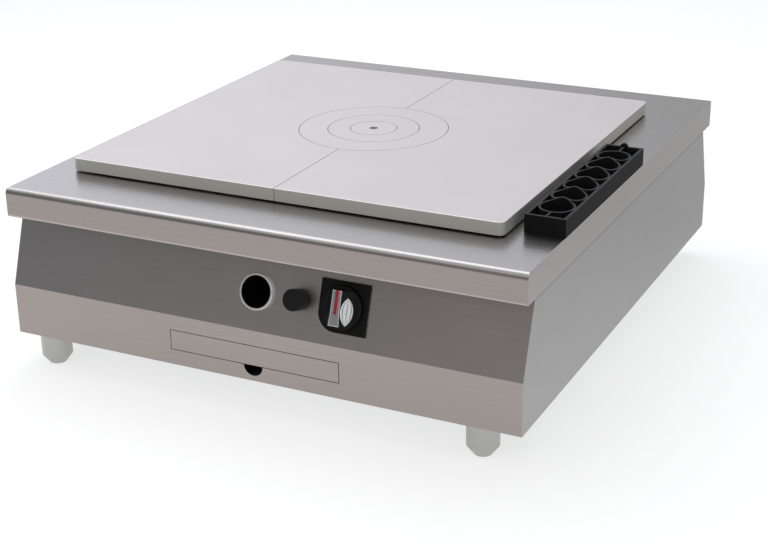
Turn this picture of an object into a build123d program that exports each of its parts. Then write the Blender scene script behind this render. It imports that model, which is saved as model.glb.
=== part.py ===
from build123d import *
import os
from math import atan2, cos, degrees, sin, tan

# Overall size of the counter unit
UNIT_WIDTH = 850.0
UNIT_DEPTH = 900.0
WORKTOP_HEIGHT = 290.0

# Sheet metal
WORKTOP_SHEET = 2.0
PANEL_SHEET = 1.5
CHAMBER_SHEET = 2.0
DUCT_SHEET = 1.5

# Clearances between pieces
SEAT_GAP = 0.3
RUNNING_CLEARANCE = 0.05
HOLE_CLEARANCE = 0.3
SLIDE_CLEARANCE = 0.5

# Worktop
WORKTOP_SETBACK = 4.0
APRON_HEIGHT = 45.5
BULLNOSE_RADIUS = 9.5
EDGE_BEND_RADIUS = 2.5
HEM_DEPTH = 12.0
OPENING_LIP = 18.0

# Body panels
BODY_HEIGHT = 236.8
KNEE_RISE = 80.6
SLOPE_SETBACK = 38.0
EDGE_WIDTH = 3.5
EDGE_DEPTH = 12.0
FLANGE_WIDTH = 15.0
LEDGE_DEPTH = 20.0
BACK_RECESS = 1.5
HEM_BEND_RADIUS = 1.8

# Hot plate, set out from the worktop's edges
PLATE_LEFT_MARGIN = 46.8
PLATE_FRONT_MARGIN = 109.2
PLATE_BACK_MARGIN = 124.0
PLATE_THICKNESS = 20.0
PLATE_LIFT = 2.5
PLATE_CORNER_RADIUS = 10.0
PLATE_EDGE_RADIUS = 1.5
PLATE_OVERLAP = 25.0
SEAM_GAP = 1.0
RIB_THICKNESS = 10.0
RIB_DEPTH = 16.0
RIB_SPACING = 165.0

# Rings and lid in the middle of the plate
OUTER_RING_RADIUS = 122.6
MIDDLE_RING_RADIUS = 75.2
LID_RADIUS = 38.4
LIFT_HOLE_RADIUS = 6.8
RING_GAP = 1.0
RING_SEAT = 6.0
RING_STEP = 10.0

# Flue grille on the right of the plate
GRILLE_GAP = 17.2
GRILLE_WIDTH = 61.5
GRILLE_RIGHT_MARGIN = 1.0
GRILLE_LENGTH = 351.0
GRILLE_HEIGHT = 27.0
GRILLE_BACK_MARGIN = 397.4
GRILLE_WALL = 4.5
GRILLE_WEB = 3.2
GRILLE_WEB_DEPTH = 16.0
GRILLE_RINGS = 6
GRILLE_RING_FRONT = 47.7
GRILLE_RING_LAP = 2.7
GRILLE_PEAK = 5.5
GRILLE_BUMP_RADIUS = 6.0
GRILLE_LIP = 2.0
GRILLE_LIP_DEPTH = 6.0

# Frame, chamber and lining under the plate
FRAME_BAR = 12.0
FRAME_HEIGHT = 30.0
FRAME_CLEARANCE = 1.0
SEAM_BAR_WIDTH = 30.0
SEAM_BAR_HEIGHT = 25.0
SEAM_BAR_SETBACK = 8.0
CHAMBER_RISE = 84.8
LINING_WALL = 25.0
LINING_FLOOR = 15.0
INSULATION = 16.0
RAIL_HEIGHT = 26.0
RAIL_WIDTH = 40.0
RAIL_SPACING = 500.0

# Flue duct from the chamber's right wall up to the grille
FLUE_SLOT_RISE = 146.8
FLUE_SLOT_HEIGHT = 48.0
FLUE_MARGIN = 8.0

# Controls on the sloping fascia, measured up the slope from the knee
SIGHT_HOLE_X = 5.2
CONTROL_SPACING = 70.2
CONTROL_RISE = 57.4
SIGHT_HOLE_RADIUS = 24.0
SIGHT_RING_WIDTH = 3.0
SIGHT_RING_HEIGHT = 5.0
SIGHT_BARREL_WALL = 1.5
SIGHT_BARREL_LENGTH = 9.0
SIGHT_TUBE_RADIUS = 24.5

# Igniter and its push button
BUTTON_RADIUS = 16.0
BUTTON_HEIGHT = 24.5
BUTTON_TRAVEL = 5.5
BUTTON_WALL = 2.0
BUTTON_FOOT_GAP = 0.8
STEM_RADIUS = 4.0
STEM_DEPTH = 22.0
COLLAR_RADIUS = 11.5
COLLAR_HEIGHT = 5.0
BARREL_RADIUS = 9.0
BARREL_DEPTH = 14.0
IGNITER_RADIUS = 11.0
IGNITER_LENGTH = 46.0
NUT_RADIUS = 14.0
NUT_HEIGHT = 5.0

# Gas tap, its bezel and its knob
BEZEL_WIDTH = 76.5
BEZEL_HEIGHT = 74.3
BEZEL_THICKNESS = 3.0
BEZEL_CORNER_RADIUS = 28.0
KNOB_TRAVEL = 3.0
KNOB_HEIGHT = 28.0
KNOB_SKIRT_RADIUS = 31.0
KNOB_SKIRT_HEIGHT = 4.0
GRIP_LENGTH = 51.0
GRIP_TOP_WIDTH = 14.0
GRIP_TAIL_WIDTH = 16.5
GRIP_BASE_WIDTH = 40.0
GRIP_SKIRT_MARGIN = 1.0
INDEX_PLATE = 1.0
POINTER_WIDTH = 4.5
POINTER_LENGTH = 34.0
POINTER_THICKNESS = 0.4
SCOOP_LENGTH = 40.0
SCOOP_WIDTH = 20.0
SCOOP_DEPTH = 1.2
SCOOP_DROP = 4.0
SPINDLE_RADIUS = 4.0
SPINDLE_DEPTH = 24.0
PLUNGER_RADIUS = 7.0
PLUNGER_LENGTH = 16.0
PLUNGER_HOLE_RADIUS = 9.0
TAP_WIDTH = 36.0
TAP_LENGTH = 46.0
TAP_CORNER_RADIUS = 4.0
TAP_PORT_DEPTH = 27.6
TAP_BORE_DEPTH = 30.0
TAP_BRACKET_WIDTH = 60.0
TAP_BRACKET = 3.0

# Gas pipes and the connection at the back
INLET_SIDE_INSET = 37.0
INLET_RISE = 141.8
INLET_RADIUS = 10.48
INLET_LENGTH = 25.0
INLET_SHOULDER_RADIUS = 12.0
INLET_BORE = 7.5
INLET_HEX_RADIUS = 15.0
INLET_HEX_LENGTH = 12.0
SUPPLY_RADIUS = 9.0
SUPPLY_RISE = 41.8
BURNER_PIPE_RADIUS = 6.0
BURNER_PIPE_RISE = 70.8
PIPE_WALL = 1.0
PIPE_BEND = 1.7

# Burner
BURNER_RADIUS = 75.0
BURNER_WALL = 5.0
BURNER_RISE = 122.8
BURNER_HEIGHT = 40.0
CAP_RADIUS = 78.0
CAP_THICKNESS = 12.0
CAP_SLOTS = 24
CAP_SLOT_WIDTH = 3.0
CAP_SLOT_DEPTH = 15.6
BURNER_LEG_RADIUS = 6.0
BURNER_LEGS = 3
MIXER_OFFSET = 48.0
MIXER_RADIUS = 18.0
MIXER_WALL = 2.0
BELL_RADIUS = 24.0
BELL_LENGTH = 20.0
BELL_REACH = 46.0
MIXER_FLANGE = 4.0
MIXER_FLANGE_SIZE = 60.0
HOLDER_SIZE = 22.0
HOLDER_GAP = 24.0
HOLDER_ARM = 3.0
INJECTOR_RADIUS = 6.0
INJECTOR_LENGTH = 16.0
INJECTOR_BORE = 1.1
INJECTOR_NOSE_RADIUS = 5.0
INJECTOR_HEX_RADIUS = 7.5

# Pilot flame, thermocouple and spark electrode
PILOT_REACH = 78.0
PILOT_RISE = 168.8
PILOT_BLOCK = 12.0
PILOT_NOZZLE_RADIUS = 5.0
PILOT_NOZZLE_BORE = 1.0
PILOT_PLATE = 2.0
PILOT_PLATE_HEIGHT = 50.0
LEAD_PITCH = 15.0
PILOT_LANE = 12.5
LEAD_SLOT_HEIGHT = 37.0
LEAD_SLOT_MARGIN = 8.0
PILOT_TUBE_RADIUS = 2.0
THERMOCOUPLE_RADIUS = 1.6
THERMOCOUPLE_TIP_RADIUS = 2.6
IGNITION_LEAD_RADIUS = 3.0
ELECTRODE_RADIUS = 3.5
ELECTRODE_TIP_RADIUS = 1.0

# Drip drawer
DRAWER_X = 3.0
DRAWER_WIDTH = 281.0
DRAWER_HEIGHT = 30.6
DRAWER_RISE = 25.1
DRAWER_GAP = 1.0
DRAWER_RETURN = 10.0
TRAY_LENGTH = 420.0
TRAY_INSET = 12.0
TRAY_HEIGHT = 23.0
TRAY_SHEET = 1.2
NOTCH_RADIUS = 15.8
RUNNER_SHEET = 1.5
RUNNER_LEDGE = 12.0

# Feet
FOOT_LEFT_INSET = 48.5
FOOT_RIGHT_INSET = 71.5
FOOT_END_INSET = 30.0
FOOT_RADIUS = 24.0
FOOT_TIP_RADIUS = 13.5
FOOT_CHAMFER = 14.0
STUD_RADIUS = 6.0
STUD_LENGTH = 30.0
SOCKET_RADIUS = 14.0
SOCKET_HEIGHT = 26.0

# Screws and vents in the back and the floor
SCREW_HEAD_RADIUS = 4.0
SCREW_HEAD_HEIGHT = 2.2
SCREW_RADIUS = 2.0
SCREW_LENGTH = 8.0
SCREW_ROWS = 4
VENT_LENGTH = 70.0
VENT_WIDTH = 6.0
VENT_ROWS = 5
VENT_PITCH = 14.0
VENT_COLUMNS = 3

# Places that follow from the sizes above
half_width = UNIT_WIDTH / 2
half_depth = UNIT_DEPTH / 2
worktop_half_depth = half_depth - WORKTOP_SETBACK
worktop_under = WORKTOP_HEIGHT - WORKTOP_SHEET
apron_bottom = WORKTOP_HEIGHT - APRON_HEIGHT
side_x = half_width - EDGE_BEND_RADIUS
side_inner_x = side_x - PANEL_SHEET
edge_inner_x = side_x - EDGE_WIDTH
slope_top_y = half_depth - SLOPE_SETBACK
body_bottom = WORKTOP_HEIGHT - BODY_HEIGHT
knee_height = body_bottom + KNEE_RISE
slope_angle = atan2(SLOPE_SETBACK, apron_bottom - knee_height)
base_bottom = body_bottom + PANEL_SHEET
base_top = base_bottom + PANEL_SHEET

plate_x0 = -half_width + PLATE_LEFT_MARGIN
plate_x1 = half_width - GRILLE_RIGHT_MARGIN - GRILLE_WIDTH - GRILLE_GAP
plate_y0 = -worktop_half_depth + PLATE_FRONT_MARGIN
plate_y1 = worktop_half_depth - PLATE_BACK_MARGIN
plate_x = (plate_x0 + plate_x1) / 2
plate_y = (plate_y0 + plate_y1) / 2
plate_bottom = WORKTOP_HEIGHT + PLATE_LIFT
plate_top = plate_bottom + PLATE_THICKNESS

frame_x0 = plate_x0 + PLATE_OVERLAP
frame_x1 = plate_x1 - PLATE_OVERLAP
frame_y0 = plate_y0 + PLATE_OVERLAP
frame_y1 = plate_y1 - PLATE_OVERLAP
frame_bottom = plate_bottom - FRAME_HEIGHT
chamber_floor = body_bottom + CHAMBER_RISE
chamber_inside = chamber_floor + CHAMBER_SHEET
lining_top = frame_bottom - CHAMBER_SHEET - SEAT_GAP
hearth = chamber_inside + LINING_FLOOR

grille_x1 = half_width - GRILLE_RIGHT_MARGIN
grille_x0 = grille_x1 - GRILLE_WIDTH
grille_y1 = worktop_half_depth - GRILLE_BACK_MARGIN
grille_y0 = grille_y1 - GRILLE_LENGTH
grille_x = (grille_x0 + grille_x1) / 2
grille_pitch = GRILLE_WIDTH - 2 * GRILLE_WALL - GRILLE_RING_LAP
flue_x0 = grille_x0 + FLUE_MARGIN
flue_x1 = grille_x1 - FLUE_MARGIN - EDGE_WIDTH
flue_y0 = grille_y0 + FLUE_MARGIN
flue_y1 = grille_y1 - FLUE_MARGIN
flue_slot_bottom = body_bottom + FLUE_SLOT_RISE
flue_slot_top = flue_slot_bottom + FLUE_SLOT_HEIGHT

button_x = SIGHT_HOLE_X + CONTROL_SPACING
knob_x = button_x + CONTROL_SPACING
outward = Vector(0, -cos(slope_angle), sin(slope_angle))
fascia_face = Plane(origin=(0, -half_depth, knee_height), x_dir=(1, 0, 0), z_dir=outward)
back_outward = Vector(0, cos(slope_angle), sin(slope_angle))
back_origin = Vector(0, half_depth, knee_height) - back_outward * BACK_RECESS
back_face = Plane(origin=back_origin, x_dir=(-1, 0, 0), z_dir=back_outward)
knob_skirt_bottom = BEZEL_THICKNESS + KNOB_TRAVEL + SEAT_GAP
knob_skirt_top = knob_skirt_bottom + KNOB_SKIRT_HEIGHT
spindle_top = KNOB_HEIGHT - INDEX_PLATE - 2 * SPINDLE_RADIUS
tap_front = -PANEL_SHEET - TAP_BRACKET
sight_back = fascia_face.from_local_coords((SIGHT_HOLE_X, CONTROL_RISE, -SIGHT_BARREL_LENGTH))
tap_back = fascia_face.from_local_coords((knob_x, CONTROL_RISE, tap_front - TAP_LENGTH))
tap_middle = fascia_face.from_local_coords((knob_x, CONTROL_RISE, tap_front - TAP_PORT_DEPTH))
igniter_back = fascia_face.from_local_coords((button_x, CONTROL_RISE, -BARREL_DEPTH - IGNITER_LENGTH))

tap_inlet_x = knob_x + TAP_WIDTH / 2 + SUPPLY_RADIUS
tap_outlet_z = tap_middle.Z - TAP_WIDTH / 2 - BURNER_PIPE_RADIUS
tap_port_y = tap_back.Y + 2 * TAP_WIDTH / 5
pilot_port_x = knob_x - TAP_WIDTH / 4
pilot_port_z = igniter_back.Z + 4 * IGNITION_LEAD_RADIUS + 2 * PILOT_TUBE_RADIUS
thermo_port_x = knob_x + TAP_WIDTH / 4
thermo_port_z = igniter_back.Z + 3 * IGNITION_LEAD_RADIUS
inlet_x = half_width - INLET_SIDE_INSET
inlet_height = body_bottom + INLET_RISE
supply_height = body_bottom + SUPPLY_RISE
burner_pipe_height = body_bottom + BURNER_PIPE_RISE
inlet_panel_y = half_depth - BACK_RECESS - (inlet_height - knee_height) * tan(slope_angle)
inlet_thread_y = inlet_panel_y + INLET_SHOULDER_RADIUS * tan(slope_angle) + SEAT_GAP
inlet_start_y = inlet_panel_y - LEDGE_DEPTH - INLET_HEX_LENGTH

mixer_x = plate_x - MIXER_OFFSET
burner_bottom = body_bottom + BURNER_RISE
mixer_z = burner_bottom + BURNER_HEIGHT / 2
mixer_front = frame_y0 - BELL_REACH
cap_bottom = burner_bottom + BURNER_HEIGHT

drawer_bottom = body_bottom + DRAWER_RISE
drawer_top = drawer_bottom + DRAWER_HEIGHT
band_inner_y = -half_depth + PANEL_SHEET
tray_bottom = drawer_bottom + (DRAWER_HEIGHT - TRAY_HEIGHT) / 2
tray_half_width = DRAWER_WIDTH / 2 - TRAY_INSET
foot_xs = (-half_width + FOOT_LEFT_INSET, half_width - FOOT_RIGHT_INSET)
foot_y = half_depth - FOOT_END_INSET

pilot_height = body_bottom + PILOT_RISE
pilot_y = plate_y - PILOT_REACH
bracket_y = pilot_y - PILOT_BLOCK
lead_xs = [button_x - LEAD_PITCH * i for i in (2, 1, 0)]


def block(low, high):
    """A box between two opposite corners."""
    size = [b - a for a, b in zip(low, high)]
    middle = [(a + b) / 2 for a, b in zip(low, high)]
    return Pos(*middle) * Box(*size)


def rod(radius, start, end):
    """A round bar from one point to another."""
    axis = Vector(*end) - Vector(*start)
    return Plane(origin=start, z_dir=axis) * extrude(Circle(radius), axis.length)


def side_view(points):
    """A closed outline in the YZ plane."""
    return Plane.YZ * make_face(Polyline(*points, close=True))


def along_x(face, start, end):
    """A side view carried across the unit between two X values."""
    return Pos(start, 0, 0) * extrude(face, end - start, dir=(1, 0, 0))


def parallel(points, distance):
    """The line of points moved sideways to its left, with its corners kept sharp."""
    lines = []
    for (y0, z0), (y1, z1) in zip(points, points[1:]):
        run = Vector(y1 - y0, z1 - z0).normalized()
        lines.append((Vector(y0, z0) + Vector(-run.Y, run.X) * distance, run))
    inner = [lines[0][0]]
    for (a, u), (b, v) in zip(lines, lines[1:]):
        cross = u.X * v.Y - u.Y * v.X
        reach = ((b.X - a.X) * v.Y - (b.Y - a.Y) * v.X) / cross
        inner.append(a + u * reach)
    last = Vector(*points[-1])
    run = lines[-1][1]
    inner.append(last + Vector(-run.Y, run.X) * distance)
    return [(p.X, p.Y) for p in inner]


def folded(points, thickness):
    """A folded sheet's outline: a line of points and its parallel, thickness to the left."""
    return list(points) + list(reversed(parallel(points, thickness)))


def covered_block(low, high, front_radius, bend_radius):
    """A block whose front top edge is a large round and whose other top edges are small ones."""
    middle = ((low[1] + high[1]) / 2, (low[2] + high[2]) / 2)
    profile = Pos(*middle) * Rectangle(high[1] - low[1], high[2] - low[2])
    tops = profile.vertices().group_by(Axis.Y)[-1].sort_by(Axis.X)
    profile = fillet(tops[0], front_radius)
    tops = profile.vertices().group_by(Axis.Y)[-1].sort_by(Axis.X)
    profile = fillet(tops[-1], bend_radius)
    long_way = along_x(Plane.YZ * profile, low[0], high[0])
    width = high[0] - low[0]
    front_view = Pos((low[0] + high[0]) / 2, middle[1]) * Rectangle(width, high[2] - low[2])
    front_view = fillet(front_view.vertices().group_by(Axis.Y)[-1], bend_radius)
    cross_way = extrude(Plane.XZ * front_view, high[1] - low[1], both=True)
    return long_way & cross_way


def pipe(points, radius, wall, bends):
    """A round tube along straight runs with tangent bends."""
    path = FilletPolyline(*points, radius=bends)
    section = Circle(radius)
    if wall:
        section = section - Circle(radius - wall)
    return sweep(Plane(origin=path @ 0, z_dir=path % 0) * section, path=path)


# Body shell

def body_line(inset):
    """The body's back line in the side view, from the floor sheet up, set in from the outside."""
    points = [(half_depth, body_bottom), (half_depth, knee_height), (slope_top_y, apron_bottom)]
    return parallel(points + [(slope_top_y, worktop_under)], inset)


def body_outline(front_inset):
    """The body's side view: band, slope and upright part, at the front and at the back."""
    front = [(-y, z) for y, z in body_line(front_inset)]
    return make_face(Polyline(*front, *reversed(body_line(0)), close=True))


def side_panel(side):
    """A side panel with a thick hem round its edge and a flange behind the fascia and the back."""
    outline = body_outline(PANEL_SHEET)
    hem = outline - offset(outline, -EDGE_DEPTH, kind=Kind.INTERSECTION)
    depth = BACK_RECESS + PANEL_SHEET
    outer = offset(body_outline(PANEL_SHEET - depth), -depth, kind=Kind.INTERSECTION)
    flange = outer - offset(outer, -PANEL_SHEET, kind=Kind.INTERSECTION)
    flange -= Pos(0, WORKTOP_HEIGHT) * Rectangle(2 * (slope_top_y - 2 * FLANGE_WIDTH), 2 * knee_height)
    ledge = (-half_depth, knee_height - PANEL_SHEET / 2)
    flange -= Pos(*ledge) * Rectangle(2 * (LEDGE_DEPTH + PANEL_SHEET), PANEL_SHEET)
    panel = along_x(Plane.YZ * outline, side_inner_x, side_x)
    panel += along_x(Plane.YZ * hem, edge_inner_x, side_x)
    panel += along_x(Plane.YZ * flange, side_x - FLANGE_WIDTH, side_x)
    panel -= screw_shanks(1)
    return panel if side > 0 else mirror(panel, about=Plane.YZ)


def worktop():
    """The pressed top with aprons, its front bullnose, its hems and its two openings."""
    low = (-half_width, -worktop_half_depth, apron_bottom)
    high = (half_width, worktop_half_depth, WORKTOP_HEIGHT)
    skin = WORKTOP_SHEET
    inner_low = (low[0] + skin, low[1] + skin, low[2] - skin)
    inner_high = (high[0] - skin, high[1] - skin, high[2] - skin)
    outer = covered_block(low, high, BULLNOSE_RADIUS, EDGE_BEND_RADIUS)
    inner = covered_block(inner_low, inner_high, BULLNOSE_RADIUS - skin, EDGE_BEND_RADIUS - skin)
    top = outer - inner
    for end in (-1, 1):
        y = end * (worktop_half_depth - skin)
        hem_low = (inner_low[0], min(y, y - end * HEM_DEPTH), apron_bottom)
        hem_high = (inner_high[0], max(y, y - end * HEM_DEPTH), apron_bottom + skin)
        top += block(hem_low, hem_high)
    clear = FRAME_CLEARANCE
    hole_low = (frame_x0 - clear, frame_y0 - clear, WORKTOP_HEIGHT - OPENING_LIP)
    hole_high = (frame_x1 + clear, frame_y1 + clear, WORKTOP_HEIGHT)
    lip_low = (hole_low[0] - skin, hole_low[1] - skin, hole_low[2])
    lip_high = (hole_high[0] + skin, hole_high[1] + skin, hole_high[2])
    top += block(lip_low, lip_high)
    top -= block(hole_low, hole_high)
    top -= block((flue_x0, flue_y0, worktop_under), (flue_x1, flue_y1, WORKTOP_HEIGHT))
    low_edges = top.edges().filter_by(Axis.X).group_by(Axis.Z)[0].sort_by(Axis.Y)
    return fillet([low_edges[0], low_edges[-1]], HEM_BEND_RADIUS)


def control_fascia():
    """The dark sloping panel over the side panels' edges, folded upright behind the apron."""
    line = [(-y, z) for y, z in body_line(0)[1:]]
    sheet = along_x(side_view(folded(line, -PANEL_SHEET)), -side_x, side_x)
    sheet -= block((-side_x, -half_depth, body_bottom), (side_x, 0, knee_height))
    radii = [SIGHT_HOLE_RADIUS + SIGHT_BARREL_WALL, BARREL_RADIUS, PLUNGER_HOLE_RADIUS]
    for x, radius in zip((SIGHT_HOLE_X, button_x, knob_x), radii):
        sheet -= fascia_face * Pos(x, CONTROL_RISE) * Cylinder(radius + HOLE_CLEARANCE, 4 * PANEL_SHEET)
    return sheet


def lower_front_panel():
    """The pale front band with the drawer's opening and the finger notch under it."""
    back_y = band_inner_y
    panel = block((-side_x, -half_depth, body_bottom), (side_x, back_y, knee_height))
    half = edge_inner_x
    for z in (body_bottom, knee_height - PANEL_SHEET):
        panel += block((-half, back_y, z), (half, back_y + LEDGE_DEPTH, z + PANEL_SHEET))
    half_hole = DRAWER_WIDTH / 2 + DRAWER_GAP
    low = (DRAWER_X - half_hole, -half_depth, drawer_bottom - DRAWER_GAP)
    high = (DRAWER_X + half_hole, back_y, drawer_top + DRAWER_GAP)
    panel -= block(low, high)
    notch = (DRAWER_X, -half_depth, low[2])
    panel -= rod(NOTCH_RADIUS, notch, (DRAWER_X, back_y, low[2]))
    return panel


def vent_rows(centre_x, centre_y):
    """A group of round-ended vent slots, one above the other, in a flat sheet."""
    rows = GridLocations(0, VENT_PITCH, 1, VENT_ROWS) * SlotOverall(VENT_LENGTH, VENT_WIDTH)
    return Pos(centre_x, centre_y) * extrude(Sketch() + rows, 4 * PANEL_SHEET, both=True)


def screw_places(side):
    """The places of the back panel's screws along one edge."""
    x = edge_inner_x - FLANGE_WIDTH / 3
    rise = (apron_bottom - knee_height) / cos(slope_angle)
    return [back_face * Pos(-side * x, rise * (i + 0.5) / SCREW_ROWS) for i in range(SCREW_ROWS)]


def screw_shanks(side):
    """The screws' shanks along one edge, which also cut their holes."""
    return Part() + [place * extrude(Circle(SCREW_RADIUS), -SCREW_LENGTH) for place in screw_places(side)]


def back_panel():
    """The folded back, set between the side panels, with vent slots and the gas inlet's hole."""
    sheet = along_x(side_view(folded(body_line(BACK_RECESS), PANEL_SHEET)), -edge_inner_x, edge_inner_x)
    edge = half_depth - BACK_RECESS
    low = (-edge_inner_x, edge - PANEL_SHEET - LEDGE_DEPTH, body_bottom)
    sheet += block(low, (edge_inner_x, edge, base_bottom))
    spacing = UNIT_WIDTH / (VENT_COLUMNS + 1)
    for i in range(VENT_COLUMNS):
        x = (i - (VENT_COLUMNS - 1) / 2) * spacing
        sheet -= back_face * vent_rows(x, CONTROL_RISE)
    sheet -= screw_shanks(-1)
    sheet -= screw_shanks(1)
    hole = extrude(Circle(INLET_SHOULDER_RADIUS + HOLE_CLEARANCE), 3 * LEDGE_DEPTH)
    return sheet - at_inlet(slope_top_y - LEDGE_DEPTH) * hole


def base_plate():
    """The floor sheet, with air slots for the burner and holes for the feet's studs."""
    low = (-edge_inner_x, band_inner_y, base_bottom)
    high = (edge_inner_x, half_depth - 2 * PANEL_SHEET, base_top)
    plate = block(low, high)
    for x in foot_xs:
        for y in (-foot_y / 2, 0, foot_y / 2):
            plate -= Pos(0, 0, base_bottom) * vent_rows(2 * x / 3, y)
        for y in (-foot_y, foot_y):
            plate -= Pos(x, y, base_bottom) * Cylinder(STUD_RADIUS + HOLE_CLEARANCE, 4 * PANEL_SHEET)
    return plate


def cross_rails():
    """Two channels, open below, from side panel to side panel, that carry the chamber."""
    rails = []
    for y in (-RAIL_SPACING / 2, RAIL_SPACING / 2):
        low = (-side_inner_x, y - RAIL_WIDTH / 2, chamber_floor - RAIL_HEIGHT)
        high = (side_inner_x, y + RAIL_WIDTH / 2, chamber_floor)
        hollow_low = (low[0], low[1] + PANEL_SHEET, low[2])
        hollow_high = (high[0], high[1] - PANEL_SHEET, high[2] - PANEL_SHEET)
        rails.append(block(low, high) - block(hollow_low, hollow_high))
    return Compound(rails)


# Hot plate, rings and lid

def plate_half(side):
    """One cast half of the plate, with a stepped bore for the rings and ribs underneath."""
    whole = RectangleRounded(plate_x1 - plate_x0, plate_y1 - plate_y0, PLATE_CORNER_RADIUS)
    cast = Pos(plate_x, plate_y, plate_bottom) * extrude(whole, PLATE_THICKNESS)
    cast = fillet(cast.faces().sort_by(Axis.Z)[-1].outer_wire().edges(), PLATE_EDGE_RADIUS)
    reach = FRAME_BAR + SEAT_GAP
    inner_x = SEAM_BAR_WIDTH / 2 + SEAT_GAP
    outer_x = (frame_x1 - frame_x0) / 2 - reach
    for y in (-RIB_SPACING, RIB_SPACING):
        low = (plate_x + inner_x, plate_y + y - RIB_THICKNESS / 2, plate_bottom - RIB_DEPTH)
        high = (plate_x + outer_x, plate_y + y + RIB_THICKNESS / 2, plate_bottom)
        rib = block(low, high)
        cast += rib
        cast += mirror(rib, about=Plane.YZ.offset(plate_x))
    cast -= seat_hole(OUTER_RING_RADIUS)
    edge = plate_x + side * SEAM_GAP / 2
    far = plate_x1 if side > 0 else plate_x0
    low = (min(edge, far), plate_y0, plate_bottom - RIB_DEPTH)
    high = (max(edge, far), plate_y1, plate_top)
    return cast & block(low, high)


def disc(radius, bottom, top):
    """A flat round slab about the middle of the plate."""
    return Pos(plate_x, plate_y, bottom) * extrude(Circle(radius), top - bottom)


def seat_hole(radius):
    """The stepped hole that a ring or the lid drops into."""
    wide = disc(radius + RING_GAP / 2, plate_bottom + RING_STEP, plate_top)
    return wide + disc(radius + RING_GAP / 2 - RING_SEAT, plate_bottom, plate_bottom + RING_STEP)


def seat_plug(radius):
    """The stepped disc that rests on the seat of the same radius."""
    wide = disc(radius - RING_GAP / 2, plate_bottom + RING_STEP, plate_top)
    narrow = disc(radius - RING_GAP / 2 - RING_SEAT, plate_bottom, plate_bottom + RING_STEP)
    return wide + narrow


def outer_ring():
    """The large ring, with a stepped hole for the next one."""
    return seat_plug(OUTER_RING_RADIUS) - seat_hole(MIDDLE_RING_RADIUS)


def middle_ring():
    """The small ring, with a stepped hole for the lid."""
    return seat_plug(MIDDLE_RING_RADIUS) - seat_hole(LID_RADIUS)


def centre_lid():
    """The lid, with the hole that takes the lifting hook."""
    return seat_plug(LID_RADIUS) - disc(LIFT_HOLE_RADIUS, plate_bottom, plate_top)


def hob_frame():
    """The bar frame in the worktop's opening, on which the plate's rim rests."""
    outer = block((frame_x0, frame_y0, frame_bottom), (frame_x1, frame_y1, plate_bottom))
    low = (frame_x0 + FRAME_BAR, frame_y0 + FRAME_BAR, frame_bottom)
    return outer - block(low, (frame_x1 - FRAME_BAR, frame_y1 - FRAME_BAR, plate_bottom))


def seam_supports():
    """Two bars under the plate's seam, each on the frame at one end and on a leg at the other."""
    bars = []
    inner_y = OUTER_RING_RADIUS + SEAM_BAR_SETBACK
    for side, far in ((-1, frame_y0 + FRAME_BAR), (1, frame_y1 - FRAME_BAR)):
        near = plate_y + side * inner_y
        half = SEAM_BAR_WIDTH / 2
        low = (plate_x - half, min(near, far), plate_bottom - SEAM_BAR_HEIGHT)
        bar = block(low, (plate_x + half, max(near, far), plate_bottom))
        leg_far = near + side * FRAME_BAR
        leg_low = (plate_x - half, min(near, leg_far), hearth)
        bar += block(leg_low, (plate_x + half, max(near, leg_far), plate_bottom))
        bars.append(bar)
    return Compound(bars)


# Firebox under the plate

def front_wall_holes(wall_y0, wall_y1):
    """What passes through the chamber's front wall: sight tube, mixing tube and pilot leads."""
    grown = SIGHT_TUBE_RADIUS + SIGHT_BARREL_WALL
    holes = rod(grown, (sight_back.X, wall_y0, sight_back.Z), (sight_back.X, wall_y1, sight_back.Z))
    holes += rod(MIXER_RADIUS + HOLE_CLEARANCE, (mixer_x, wall_y0, mixer_z), (mixer_x, wall_y1, mixer_z))
    low = (lead_xs[0] - LEAD_SLOT_MARGIN, wall_y0, hearth)
    high = (lead_xs[-1] + LEAD_SLOT_MARGIN, wall_y1, hearth + LEAD_SLOT_HEIGHT)
    return holes + block(low, high)


def flue_slot(wall_x0, wall_x1):
    """The slot in the chamber's right wall that leads into the flue duct."""
    low = (wall_x0, flue_y0, flue_slot_bottom)
    return block(low, (wall_x1, flue_y1, flue_slot_top))


def chamber_shell():
    """The steel box under the frame, with an inward flange that the frame stands on."""
    skin = CHAMBER_SHEET
    shell = block((frame_x0, frame_y0, chamber_floor), (frame_x1, frame_y1, frame_bottom))
    low = (frame_x0 + skin, frame_y0 + skin, chamber_inside)
    shell -= block(low, (frame_x1 - skin, frame_y1 - skin, frame_bottom - skin))
    low = (frame_x0 + FRAME_BAR, frame_y0 + FRAME_BAR, frame_bottom - skin)
    shell -= block(low, (frame_x1 - FRAME_BAR, frame_y1 - FRAME_BAR, frame_bottom))
    shell -= front_wall_holes(frame_y0, frame_y0 + skin)
    shell -= flue_slot(frame_x1 - skin, frame_x1)
    return shell


def refractory_bricks():
    """The firebox lining: a floor slab and four wall slabs of fired clay."""
    skin = CHAMBER_SHEET
    x0, x1 = frame_x0 + skin, frame_x1 - skin
    y0, y1 = frame_y0 + skin, frame_y1 - skin
    floor = block((x0, y0, chamber_inside), (x1, y1, hearth))
    front = block((x0, y0, hearth), (x1, y0 + LINING_WALL, lining_top))
    front -= front_wall_holes(y0, y0 + LINING_WALL)
    back = block((x0, y1 - LINING_WALL, hearth), (x1, y1, lining_top))
    left = block((x0, y0 + LINING_WALL, hearth), (x0 + LINING_WALL, y1 - LINING_WALL, lining_top))
    right = block((x1 - LINING_WALL, y0 + LINING_WALL, hearth), (x1, y1 - LINING_WALL, lining_top))
    right -= flue_slot(x1 - LINING_WALL, x1)
    return Compound([floor, front, back, left, right])


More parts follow.
